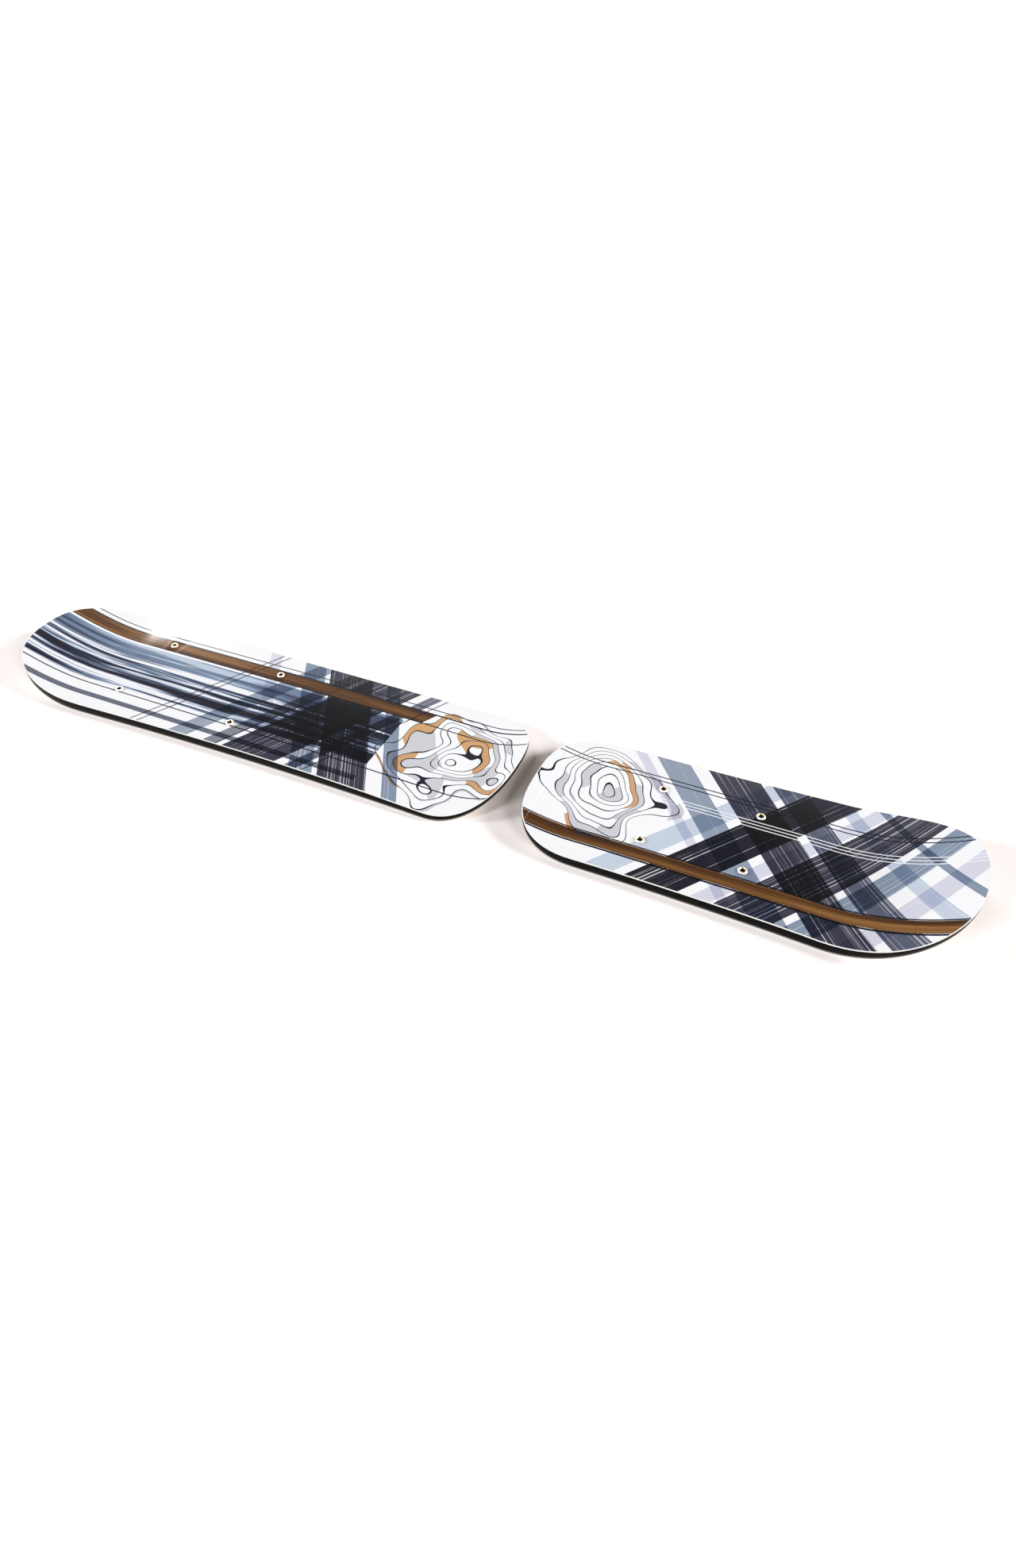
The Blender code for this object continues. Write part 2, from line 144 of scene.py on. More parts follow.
body = bmesh.new()
bmesh.ops.create_grid(body, x_segments=1, y_segments=1, size=PAPER_SIZE / 2)
bmesh.ops.translate(body, vec=(0, 0, -PAPER_DROP), verts=body.verts)
floor_mesh = bpy.data.meshes.new("floor")
body.to_mesh(floor_mesh)
body.free()
floor_mesh.materials.append(paper)
floor_sheet = bpy.data.objects.new("floor", floor_mesh)
bpy.context.scene.collection.objects.link(floor_sheet)

world = bpy.data.worlds.new("white_walls")
world.use_nodes = True
tree = world.node_tree
tree.nodes.clear()
ray = add(tree, "ShaderNodeLightPath")
seen = add(tree, "ShaderNodeMath", {0: ray.outputs["Is Camera Ray"], 1: ray.outputs["Is Glossy Ray"]},
           operation="MAXIMUM")
seen = add(tree, "ShaderNodeMath", {0: seen.outputs[0], 1: ray.outputs["Is Transmission Ray"]},
           operation="MAXIMUM")
level = add(tree, "ShaderNodeMapRange", {"Value": seen.outputs[0], "To Min": WALL_LIGHT, "To Max": 1.0})
walls = add(tree, "ShaderNodeBackground", {"Color": linear(WALLS), "Strength": level.outputs[0]})
add(tree, "ShaderNodeOutputWorld", {"Surface": walls.outputs[0]})
bpy.context.scene.world = world

for name, strength, spread, bearing, height in LAMPS:
    lamp_data = bpy.data.lights.new(name, "SUN")
    lamp_data.energy = strength
    lamp_data.angle = radians(spread)
    lamp = bpy.data.objects.new(name, lamp_data)
    lamp.matrix_world = (Matrix.Rotation(radians(bearing), 4, "Z")
                         @ Matrix.Rotation(radians(90 - height), 4, "Y"))
    bpy.context.scene.collection.objects.link(lamp)
bpy.context.scene.view_settings.view_transform = "Standard"


# Running base. Sintered polyethylene, cut from sheet to the ski's plan inside the steel edges and
# bonded on; its underside is stone ground with fine grooves along the ski, then waxed.
LONG = SimpleNamespace(
    name="long_ski", tail_width=0.2755, waist_width=0.2365, tip_width=0.246, tail_round=0.214,
    tip_round=0.099, tail_square=2.57, tip_square=2.38, tail_rise=0.0405, tail_rise_length=0.164,
    tip_rise=0.0265, tip_rise_length=0.092, spacing=0.223, gauge=0.1365, inserts_at=-0.122)
SHORT = SimpleNamespace(
    name="short_ski", tail_width=0.248, waist_width=0.244, tip_width=0.273, tail_round=0.120,
    tip_round=0.166, tail_square=2.83, tip_square=2.36, tail_rise=0.0205, tail_rise_length=0.095,
    tip_rise=0.0675, tip_rise_length=0.170, spacing=0.138, gauge=0.107, inserts_at=-0.050)
SKIS = (LONG, SHORT)
for ski in SKIS:
    low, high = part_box(ski.name + "_topsheet")
    ski.length = high[0] - low[0]
    ski.middle = (high[0] + low[0]) / 2

MID_THICKNESS = 0.0155
END_THICKNESS = 0.0075
FLAT_MARGIN = 0.040
BASE_THICKNESS = 0.0022
EDGE_WIDTH = 0.0022
HAIRLINE = 0.00008
ROUND_STEPS = 36
RISE_STEPS = 22
FLAT_STEPS = 24
SMOOTH_ANGLE = radians(30)
BLANK_HEIGHT = 1.0
CUT_TOLERANCE = 1e-7
WALL_NORMAL = 0.5


def half_width(ski, x):
    """Half of the ski's width at x, one shallow curve through tail, waist and tip."""
    along = 2 * x / ski.length
    slope = (ski.tip_width - ski.tail_width) / 2
    flare = (ski.tip_width + ski.tail_width) / 2 - ski.waist_width
    return (ski.waist_width + slope * along + flare * along ** 2) / 2


def left_outline(ski, inset):
    """Plan points from the tail end round the left side to the tip end, set in by inset."""
    turn = np.linspace(0, pi / 2, ROUND_STEPS + 1)
    tail_start = ski.tail_round - ski.length / 2
    tip_start = ski.length / 2 - ski.tip_round
    tail_x = tail_start - (ski.tail_round - inset) * np.sin(turn) ** (2 / ski.tail_square)
    tip_x = tip_start + (ski.tip_round - inset) * np.sin(turn) ** (2 / ski.tip_square)
    tail_y = (half_width(ski, tail_x) - inset) * np.cos(turn) ** (2 / ski.tail_square)
    tip_y = (half_width(ski, tip_x) - inset) * np.cos(turn) ** (2 / ski.tip_square)
    side_x = np.linspace(tail_start, tip_start, FLAT_STEPS + 1)[1:-1]
    side_y = half_width(ski, side_x) - inset
    y = np.concatenate([tail_y[::-1], side_y, tip_y])
    y[0] = y[-1] = 0.0
    return list(zip(np.concatenate([tail_x[::-1], side_x, tip_x]), y))


def whole_outline(ski, inset):
    """Closed plan outline of the ski, set in by inset."""
    left = left_outline(ski, inset)
    return left + [(x, -y) for x, y in left[-2:0:-1]]


def half_band(ski, inner, side):
    """Closed plan outline of a band along one rim, from the tail end to the tip end."""
    points = left_outline(ski, 0.0) + left_outline(ski, inner)[::-1]
    return [(x, y * side) for x, y in points]


def underside(ski, x):
    """Height of the ski's underside, flat on the floor between two ends that curve up."""
    tail = np.clip((ski.tail_rise_length - ski.length / 2 - x) / ski.tail_rise_length, 0, None)
    tip = np.clip((x + ski.tip_rise_length - ski.length / 2) / ski.tip_rise_length, 0, None)
    return ski.tail_rise * tail ** 2 + ski.tip_rise * tip ** 2


def thickness(ski, x):
    """Thickness of the ski: full round the inserts, thinning to both ends."""
    reach = ski.spacing / 2 + FLAT_MARGIN
    to_tail = (ski.inserts_at - reach - x) / (ski.inserts_at - reach + ski.length / 2)
    to_tip = (x - ski.inserts_at - reach) / (ski.length / 2 - ski.inserts_at - reach)
    thinned = np.clip(to_tail, 0, 1) ** 2 + np.clip(to_tip, 0, 1) ** 2
    return MID_THICKNESS - (MID_THICKNESS - END_THICKNESS) * thinned


def layer(ski, outline, low, high, round_off=0.0, seam=0.0):
    """Cut a plan outline from a blank, bend it to the ski and round its rims.

    low and high give the height of each face from the ski's thickness there. A seam trims a
    half band back from the ski's centre plane, on the side that the sign of seam gives.
    """
    body = bmesh.new()
    verts = [body.verts.new((x, y, 0)) for x, y in outline]
    face = body.faces.new(verts)
    raised = bmesh.ops.extrude_face_region(body, geom=[face])["geom"]
    tops = [item for item in raised if isinstance(item, bmesh.types.BMVert)]
    bmesh.ops.translate(body, vec=(0, 0, BLANK_HEIGHT), verts=tops)
    if seam:
        geometry = body.verts[:] + body.edges[:] + body.faces[:]
        bmesh.ops.bisect_plane(body, geom=geometry, dist=CUT_TOLERANCE, plane_co=(0, seam, 0),
                               plane_no=(0, -seam, 0), clear_outer=True)
        bmesh.ops.holes_fill(body, edges=[e for e in body.edges if e.is_boundary], sides=0)
    tail_flat = ski.tail_rise_length - ski.length / 2
    tip_flat = ski.length / 2 - ski.tip_rise_length
    places = np.concatenate([np.linspace(-ski.length / 2, tail_flat, RISE_STEPS)[1:],
                             np.linspace(tail_flat, tip_flat, FLAT_STEPS)[1:-1],
                             np.linspace(tip_flat, ski.length / 2, RISE_STEPS)[:-1]])
    for place in places:
        geometry = body.verts[:] + body.edges[:] + body.faces[:]
        bmesh.ops.bisect_plane(body, geom=geometry, dist=CUT_TOLERANCE, plane_co=(place, 0, 0),
                               plane_no=(1, 0, 0))
    for vert in body.verts:
        thick = thickness(ski, vert.co.x)
        height = high(thick) if vert.co.z > BLANK_HEIGHT / 2 else low(thick)
        vert.co.z = underside(ski, vert.co.x) + height
    bmesh.ops.recalc_face_normals(body, faces=body.faces)
    if round_off:
        walls = {f for f in body.faces if abs(f.normal.z) < WALL_NORMAL}
        rims = [e for e in body.edges if len({f in walls for f in e.link_faces}) == 2]
        bmesh.ops.bevel(body, geom=rims, offset=round_off, offset_type="OFFSET", segments=2,
                        profile=0.5, affect="EDGES", material=-1, clamp_overlap=True)
    bmesh.ops.translate(body, vec=(ski.middle, 0, 0), verts=body.verts)
    return body


def finish_piece(name, body, materials, node):
    """Make a body a piece that rides on the pair and stands for its node."""
    mesh = bpy.data.meshes.new(name)
    body.to_mesh(mesh)
    body.free()
    for material in materials:
        mesh.materials.append(material)
    mesh.shade_smooth()
    mesh.set_sharp_from_angle(angle=SMOOTH_ANGLE)
    made = bpy.data.objects.new(name, mesh)
    bpy.context.scene.collection.objects.link(made)
    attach(made, "root")
    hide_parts(node)
    return made


def stretched_noise(tree, grain_mm, detail):
    """Noise on the piece's own coordinates, its grain's size along each axis in millimetres."""
    place = add(tree, "ShaderNodeTexCoord")
    sized = add(tree, "ShaderNodeMapping", {"Vector": place.outputs["Object"],
                                            "Scale": [1000 / size for size in grain_mm]})
    return add(tree, "ShaderNodeTexNoise", {"Vector": sized.outputs[0], "Scale": 1.0,
                                            "Detail": detail}).outputs["Fac"]


# Sintered polyethylene, natural colour: translucent milky, satin from the grind, wax haze in
# streaks. The ground grooves are drawn twice as wide as the real half millimetre, to show.
BASE_MILK = "#DDD9CC"
BASE_WAXED = "#CFCBBE"
WAX_STREAK_MM = (170, 11, 11)
GROOVE_MM = (250, 1.1, 1.1)
polyethylene = bare_material("sintered_polyethylene_stone_ground")
tree = polyethylene.node_tree
haze = stretched_noise(tree, WAX_STREAK_MM, detail=4.0)
tone = add(tree, "ShaderNodeMix", {0: haze, 6: linear(BASE_MILK), 7: linear(BASE_WAXED)},
           data_type="RGBA")
grooves = stretched_noise(tree, GROOVE_MM, detail=1.0)
bump = add(tree, "ShaderNodeBump", {"Height": grooves, "Strength": 0.25, "Distance": 0.0001})
shader = add(tree, "ShaderNodeBsdfPrincipled", {
    "Base Color": tone.outputs[2], "Roughness": 0.34, "IOR": 1.51, "Normal": bump.outputs[0],
    "Subsurface Weight": 0.08, "Subsurface Radius": (0.002, 0.002, 0.002)})
add(tree, "ShaderNodeOutputMaterial", {"Surface": shader.outputs[0]})

for ski in SKIS:
    outline = whole_outline(ski, EDGE_WIDTH + HAIRLINE)
    body = layer(ski, outline, lambda thick: 0.0, lambda thick: BASE_THICKNESS)
    finish_piece(ski.name + "_base_sheet", body, [polyethylene], ski.name + "_running_base")


# Steel edges. Two hardened carbon-steel strips a ski, bent round the plan and meeting at tail and
# tip, bonded flush with the base; side and underside are ground bright along the strip.
EDGE_STEEL = "#8E8B86"
EDGE_ROUND = 0.00025
GRIND_LINE_MM = (33, 33, 0.11)

# Ground steel: mid grey, bright and dull by turns in fine lines along the strip
edge_steel = bare_material("carbon_steel_ground")
tree = edge_steel.node_tree
brushed = stretched_noise(tree, GRIND_LINE_MM, detail=3.0)
rough = add(tree, "ShaderNodeMapRange", {"Value": brushed, "To Min": 0.22, "To Max": 0.42})
bump = add(tree, "ShaderNodeBump", {"Height": brushed, "Strength": 0.15, "Distance": 0.00005})
shader = add(tree, "ShaderNodeBsdfPrincipled", {
    "Base Color": linear(EDGE_STEEL), "Metallic": 1.0, "Roughness": rough.outputs[0],
    "Normal": bump.outputs[0]})
add(tree, "ShaderNodeOutputMaterial", {"Surface": shader.outputs[0]})

for ski in SKIS:
    for side, sign in (("left", 1), ("right", -1)):
        body = layer(ski, half_band(ski, EDGE_WIDTH, sign), lambda thick: 0.0,
                     lambda thick: BASE_THICKNESS, round_off=EDGE_ROUND, seam=sign * HAIRLINE)
        finish_piece(f"{ski.name}_edge_strip_{side}", body, [edge_steel],
                     f"{ski.name}_edge_{side}")


# Sidewalls. Black ABS strips round the core, milled flush with the edge after pressing; the cutter
# leaves faint lines along the wall and a satin face.
SIDEWALL_WIDTH = 0.008
TOPSHEET_THICKNESS = 0.0008
SIDEWALL_ROUND = 0.0002
ABS_BLACK = "#050506"
ABS_SCUFF = "#100F0D"
SCUFF_MM = (40, 40, 2.5)
MILL_LINE_MM = (125, 125, 0.4)

# Milled ABS: a soft black with hardly a highlight, greyer where it was scuffed
sidewall_abs = bare_material("black_abs_milled")
tree = sidewall_abs.node_tree
scuff = stretched_noise(tree, SCUFF_MM, detail=5.0)
scuff = add(tree, "ShaderNodeMapRange", {"Value": scuff, "From Min": 0.5, "From Max": 0.8})
tone = add(tree, "ShaderNodeMix", {0: scuff.outputs[0], 6: linear(ABS_BLACK), 7: linear(ABS_SCUFF)},
           data_type="RGBA")
lines = stretched_noise(tree, MILL_LINE_MM, detail=1.0)
bump = add(tree, "ShaderNodeBump", {"Height": lines, "Strength": 0.3, "Distance": 0.00005})
shader = add(tree, "ShaderNodeBsdfPrincipled", {
    "Base Color": tone.outputs[2], "Roughness": 0.45, "IOR": 1.53, "Specular IOR Level": 0.06,
    "Normal": bump.outputs[0]})
add(tree, "ShaderNodeOutputMaterial", {"Surface": shader.outputs[0]})

for ski in SKIS:
    for side, sign in (("left", 1), ("right", -1)):
        body = layer(ski, half_band(ski, SIDEWALL_WIDTH, sign),
                     lambda thick: BASE_THICKNESS + HAIRLINE,
                     lambda thick: thick - TOPSHEET_THICKNESS - HAIRLINE,
                     round_off=SIDEWALL_ROUND, seam=sign * HAIRLINE)
        finish_piece(f"{ski.name}_side_strip_{side}", body, [sidewall_abs],
                     f"{ski.name}_sidewall_{side}")


# Topsheet. Clear nylon sheet, printed on its back and bonded over the whole ski; its cut edge
# shows as a thin milky line. The print is plain straight ink bands, a wood stripe and map contours.
TRIM_WIDTH = 0.0014
TRIM_DROP = 0.0006
HOLE_RADIUS = 0.0053
HOLE_STEPS = 32
NYLON_EDGE = "#FAF8F3"
INK_WHITE = "#FAFAFC"
INK_PALE = "#C4D0E0"
INK_LAVENDER = "#D8D8E6"
INK_SLATE = "#73869F"
INK_DEEP = "#434B63"
INK_SMOKE = "#3D3C4C"
INK_CHARCOAL = "#201F2D"
INK_WALNUT = "#5F3C1C"
INK_WALNUT_LIGHT = "#94673A"
INK_WALNUT_DARK = "#3A2413"
INK_TAN = "#D39A56"
INK_STONE = "#C9C8D0"
STREAK_MM = (625, 15.6)
SCRATCH_MM = (1250, 2.5)
PRESS_RIPPLE_MM = (7, 7, 7)
CUTTER_MARK_MM = (1.4, 1.4, 17)

# Inks of a band by the tone of its streaks, from dark to light
STREAKED = ((0.46, INK_CHARCOAL), (0.49, INK_DEEP), (0.52, INK_SLATE), (0.55, INK_PALE),
            (0.58, INK_WHITE))
SLATED = ((0.40, INK_DEEP), (0.47, INK_SLATE), (0.55, INK_SLATE), (0.62, INK_PALE))
WALNUT = ((0.34, INK_WALNUT_DARK), (0.50, INK_WALNUT), (0.68, INK_WALNUT_LIGHT))

# Map contours: metres between lines and across a line, how far a line sways, and how many sways and
# tints there are in a metre, one every 91 and 111 mm. A tint has its ink, the least and most of the
# noise that takes it, and its cover.
CONTOUR_STEP = 0.013
CONTOUR_LINE = 0.0017
CONTOUR_SWAY = 0.12
SWAYS_A_METRE = 11.0
TINTS_A_METRE = 9.0
RING_TINTS = ((INK_STONE, 0.56, 1.0, 0.8), (INK_TAN, 0.0, 0.32, 0.9))


def comb(tree, turned, stroke_mm, detail):
    """Noise drawn out along a direction, its strokes' length and width in millimetres."""
    length, width = stroke_mm
    drawn = add(tree, "ShaderNodeVectorMath", {0: turned, 1: (1000 / length, 1000 / width, 1.0)},
                operation="MULTIPLY")
    return add(tree, "ShaderNodeTexNoise", {"Vector": drawn.outputs[0], "Scale": 1.0,
                                            "Detail": detail, "Roughness": 0.6},
               noise_dimensions="2D").outputs["Fac"]


def direction(tree, plan, degrees):
    """A direction on the ski: the distance across it, its streaks and its scratches."""
    turned = add(tree, "ShaderNodeVectorRotate", {"Vector": plan, "Angle": -radians(degrees)},
                 rotation_type="Z_AXIS").outputs[0]
    parted = add(tree, "ShaderNodeSeparateXYZ", {0: turned})
    scratches = comb(tree, turned, SCRATCH_MM, detail=2.0)
    worn = add(tree, "ShaderNodeMapRange", {"Value": scratches, "From Min": 0.60, "From Max": 0.68})
    return SimpleNamespace(angle=radians(degrees), across=parted.outputs["Y"],
                           scratches=worn.outputs[0],
                           streaks=comb(tree, turned, STREAK_MM, detail=4.0))


def band(tree, below, way, through, width, inks, cover=1.0, worn=0.0, cut=None, blend="MULTIPLY"):
    """One straight band of ink over the print so far, its centre line through a point.

    cover is the ink's strength, and worn how far the scratches take it off. cut gives another
    direction, and where two lines along it cross the ski's middle; the band ends at these lines.
    """
    x, y = through
    middle = y * cos(way.angle) - x * sin(way.angle)
    film = add(tree, "ShaderNodeMath", {0: way.across, 1: middle, 2: width / 2}, operation="COMPARE")
    if cut:
        other, start, end = cut
        reach = sin(other.angle) / 2
        length = add(tree, "ShaderNodeMath", {0: other.across, 1: -(start + end) * reach,
                                              2: abs(end - start) * reach}, operation="COMPARE")
        film = add(tree, "ShaderNodeMath", {0: film.outputs[0], 1: length.outputs[0]},
                   operation="MULTIPLY")
    left = add(tree, "ShaderNodeMapRange", {"Value": way.scratches, "To Min": cover,
                                            "To Max": cover * (1 - worn)})
    film = add(tree, "ShaderNodeMath", {0: film.outputs[0], 1: left.outputs[0]}, operation="MULTIPLY")
    tones = add(tree, "ShaderNodeValToRGB", {0: way.streaks})
    tones.color_ramp.elements.remove(tones.color_ramp.elements[1])
    tones.color_ramp.elements[0].position = inks[0][0]
    tones.color_ramp.elements[0].color = linear(inks[0][1])
    for tone, colour in inks[1:]:
        tones.color_ramp.elements.new(tone).color = linear(colour)
    return add(tree, "ShaderNodeMix", {0: film.outputs[0], 6: below, 7: tones.outputs[0]},
               data_type="RGBA", blend_type=blend).outputs[2]


def contours(tree, below, plan, centre, reach):
    """Map contours round a hill: swaying closed lines, with some of the rings tinted."""
    from_top = add(tree, "ShaderNodeVectorMath", {0: plan, 1: (*centre, 0)}, operation="SUBTRACT")
    far = add(tree, "ShaderNodeVectorMath", {0: from_top.outputs[0]}, operation="LENGTH")
    sway = add(tree, "ShaderNodeTexNoise", {"Vector": plan, "Scale": SWAYS_A_METRE, "Detail": 1.0},
               noise_dimensions="2D")
    sway = add(tree, "ShaderNodeMath", {0: sway.outputs["Fac"], 1: CONTOUR_SWAY,
                                        2: -CONTOUR_SWAY / 2}, operation="MULTIPLY_ADD")
    level = add(tree, "ShaderNodeMath", {0: far.outputs["Value"], 1: sway.outputs[0]}, operation="ADD")
    level = level.outputs[0]
    hill = add(tree, "ShaderNodeMath", {0: level, 1: reach}, operation="LESS_THAN").outputs[0]
    ring = add(tree, "ShaderNodeMath", {0: level, 1: CONTOUR_STEP}, operation="DIVIDE")
    ring = add(tree, "ShaderNodeMath", {0: ring.outputs[0]}, operation="FLOOR").outputs[0]
    patch = add(tree, "ShaderNodeTexNoise", {"Vector": plan, "W": ring, "Scale": TINTS_A_METRE,
                                             "Detail": 0.0}, noise_dimensions="4D").outputs["Fac"]
    for ink, least, most, cover in RING_TINTS:
        tinted = add(tree, "ShaderNodeMath", {0: patch, 1: (least + most) / 2,
                                              2: (most - least) / 2}, operation="COMPARE")
        film = add(tree, "ShaderNodeMath", {0: tinted.outputs[0], 1: hill}, operation="MULTIPLY")
        film = add(tree, "ShaderNodeMath", {0: film.outputs[0], 1: cover}, operation="MULTIPLY")
        below = add(tree, "ShaderNodeMix", {0: film.outputs[0], 6: below, 7: linear(ink)},
                    data_type="RGBA", blend_type="MULTIPLY").outputs[2]
    rise = add(tree, "ShaderNodeMath", {0: level, 1: CONTOUR_STEP / 2}, operation="PINGPONG")
    drawn = add(tree, "ShaderNodeMath", {0: rise.outputs[0], 1: CONTOUR_LINE / 2},
                operation="LESS_THAN")
    drawn = add(tree, "ShaderNodeMath", {0: drawn.outputs[0], 1: hill}, operation="MULTIPLY")
    return add(tree, "ShaderNodeMix", {0: drawn.outputs[0], 6: below, 7: linear(INK_CHARCOAL)},
               data_type="RGBA").outputs[2]


def start_print(name, ski):
    """A printed material's tree, with plan coordinates from the middle of its ski."""
    material = bare_material(name)
    tree = material.node_tree
    place = add(tree, "ShaderNodeTexCoord")
    plan = add(tree, "ShaderNodeMapping", {"Vector": place.outputs["Object"],
                                           "Location": (-ski.middle, 0, 0), "Scale": (1, 1, 0)})
    return material, tree, plan.outputs[0]


def seal_print(material, colour):
    """Gloss nylon over the print: clear and smooth, with highlights that ripple from the press."""
    tree = material.node_tree
    ripple = stretched_noise(tree, PRESS_RIPPLE_MM, detail=2.0)
    bump = add(tree, "ShaderNodeBump", {"Height": ripple, "Strength": 0.05, "Distance": 0.0002})
    shader = add(tree, "ShaderNodeBsdfPrincipled", {
        "Base Color": colour, "Roughness": 0.12, "IOR": 1.53, "Specular IOR Level": 0.09,
        "Normal": bump.outputs[0]})
    add(tree, "ShaderNodeOutputMaterial", {"Surface": shader.outputs[0]})


def one(colour):
    """A band's inks where it has one colour."""
    return ((0.5, colour),)


# The long ski's print, from the lowest ink up. A row has the band's place along the middle of the
# ski or across it, its width, and for the slanted ones its ink, its cover and how far it is worn.
long_print, tree, plan = start_print("gloss_nylon_long_print", LONG)
colour = linear(INK_WHITE)
straight = direction(tree, plan, 0.0)
rising = direction(tree, plan, 62.0)
falling = direction(tree, plan, -62.0)
crossing = direction(tree, plan, 90.0)
field = (crossing, -0.50, 0.235)
colour = band(tree, colour, straight, (0, 0.030), 0.034, SLATED, cut=field)
colour = band(tree, colour, straight, (0, -0.026), 0.078, STREAKED, cut=field)
colour = band(tree, colour, straight, (0, -0.098), 0.010, one(INK_DEEP), cover=0.9, worn=0.3,
              cut=field)
for x, width, shade, cover, worn in (
        (-0.010, 0.030, INK_SLATE, 0.8, 0.2), (0.050, 0.022, INK_DEEP, 0.8, 0.4),
        (0.120, 0.084, INK_SMOKE, 1.0, 0.5), (0.195, 0.018, INK_DEEP, 0.9, 0.5)):
    colour = band(tree, colour, rising, (x, 0), width, one(shade), cover, worn)
for x, width, shade, cover, worn in (
        (0.010, 0.020, INK_LAVENDER, 0.8, 0.2), (0.090, 0.036, INK_SLATE, 0.9, 0.4),
        (0.160, 0.072, INK_SMOKE, 1.0, 0.5), (0.240, 0.022, INK_SLATE, 0.9, 0.6)):
    colour = band(tree, colour, falling, (x, 0), width, one(shade), cover, worn)
colour = band(tree, colour, straight, (0, 0.066), 0.024, WALNUT, cut=(rising, -0.5, 0.235),
              blend="MIX")
for y, width in ((0.0530, 0.0022), (0.0795, 0.0030), (0.0900, 0.0020), (-0.0735, 0.0022)):
    colour = band(tree, colour, straight, (0, y), width, one(INK_CHARCOAL))
for x, width in ((-0.100, 0.0020), (-0.087, 0.0020), (0.060, 0.0018), (0.215, 0.0018)):
    colour = band(tree, colour, rising, (x, 0), width, one(INK_CHARCOAL))
colour = contours(tree, colour, plan, centre=(0.345, -0.010), reach=0.095)
seal_print(long_print, colour)

# The short ski's print, in the same way
short_print, tree, plan = start_print("gloss_nylon_short_print", SHORT)
colour = linear(INK_WHITE)
straight = direction(tree, plan, 0.0)
rising = direction(tree, plan, 52.0)
falling = direction(tree, plan, -52.0)
for x, width, shade, cover, worn in (
        (-0.060, 0.030, INK_PALE, 0.9, 0.3), (0.010, 0.056, INK_CHARCOAL, 1.0, 0.7),
        (0.075, 0.020, INK_LAVENDER, 0.9, 0.3), (0.130, 0.060, INK_SMOKE, 1.0, 0.7),
        (0.200, 0.030, INK_SLATE, 0.9, 0.5), (0.262, 0.026, INK_LAVENDER, 0.9, 0.2)):
    colour = band(tree, colour, rising, (x, 0), width, one(shade), cover, worn)
for x, width, shade, cover, worn in (
        (-0.080, 0.014, INK_LAVENDER, 0.9, 0.2), (-0.030, 0.040, INK_SLATE, 0.85, 0.5),
        (0.060, 0.060, INK_SMOKE, 1.0, 0.7), (0.140, 0.040, INK_DEEP, 0.95, 0.6),
        (0.215, 0.020, INK_PALE, 0.9, 0.4), (0.268, 0.010, INK_SLATE, 0.9, 0.2)):
    colour = band(tree, colour, falling, (x, 0), width, one(shade), cover, worn)
colour = band(tree, colour, rising, (0.070, 0), 0.090, one(INK_CHARCOAL), worn=0.5,
              cut=(falling, 0.010, 0.165))
colour = band(tree, colour, straight, (0, -0.078), 0.020, WALNUT, blend="MIX")
for y, width in ((-0.0665, 0.0022), (-0.0900, 0.0030), (0.070, 0.0020), (0.078, 0.0020)):
    colour = band(tree, colour, straight, (0, y), width, one(INK_CHARCOAL))
for y in (0.030, 0.036, 0.042):
    colour = band(tree, colour, straight, (0, y), 0.0018, one(INK_WHITE), cover=0.8, worn=0.3,
                  blend="MIX")
colour = contours(tree, colour, plan, centre=(-0.190, 0.012), reach=0.100)
seal_print(short_print, colour)

# Trimmed nylon: a milky line, satin and uneven from the cutter
nylon_edge = bare_material("milky_nylon_trimmed")
tree = nylon_edge.node_tree
chatter = stretched_noise(tree, CUTTER_MARK_MM, detail=1.0)
rough = add(tree, "ShaderNodeMapRange", {"Value": chatter, "To Min": 0.3, "To Max": 0.5})
shader = add(tree, "ShaderNodeBsdfPrincipled", {
    "Base Color": linear(NYLON_EDGE), "Roughness": rough.outputs[0], "IOR": 1.53})
add(tree, "ShaderNodeOutputMaterial", {"Surface": shader.outputs[0]})


def insert_places(ski):
    """The four insert places of a ski, in the numbering of its nodes."""
    return [(ski.middle + ski.inserts_at + end * ski.spacing / 2, side * ski.gauge / 2)
            for end in (-1, 1) for side in (-1, 1)]


for ski, printed in ((LONG, long_print), (SHORT, short_print)):
    body = layer(ski, whole_outline(ski, 0.0), lambda thick: thick - TOPSHEET_THICKNESS,
                 lambda thick: thick)
    top = [f for f in body.faces if f.normal.z > WALL_NORMAL]
    trimmed = bmesh.ops.inset_region(body, faces=top, thickness=TRIM_WIDTH, use_boundary=True,
                                     use_even_offset=True)["faces"]
    rim = {v for f in trimmed for v in f.verts
           if min(abs(near.normal.z) for near in v.link_faces) < WALL_NORMAL}
    bmesh.ops.translate(body, vec=(0, 0, -TRIM_DROP), verts=list(rim))
    for face in body.faces:
        face.material_index = 1
    for face in top:
        face.material_index = 0
    piece = finish_piece(ski.name + "_printed_sheet", body, [printed, nylon_edge],
                         ski.name + "_topsheet")
    drills = bmesh.new()
    for x, y in insert_places(ski):
        bmesh.ops.create_cone(drills, cap_ends=True, segments=HOLE_STEPS, radius1=HOLE_RADIUS,
                              radius2=HOLE_RADIUS, depth=MID_THICKNESS,
                              matrix=Matrix.Translation((x, y, MID_THICKNESS)))
    drill_mesh = bpy.data.meshes.new("drill")
    drills.to_mesh(drill_mesh)
    drills.free()
    drill = bpy.data.objects.new("drill", drill_mesh)
    bpy.context.scene.collection.objects.link(drill)
    holes = piece.modifiers.new("insert_holes", "BOOLEAN")
    holes.object = drill
    bpy.context.view_layer.update()
    drilled = bpy.data.meshes.new_from_object(
        piece.evaluated_get(bpy.context.evaluated_depsgraph_get()))
    piece.modifiers.remove(holes)
    piece.data = drilled
    bpy.data.objects.remove(drill)


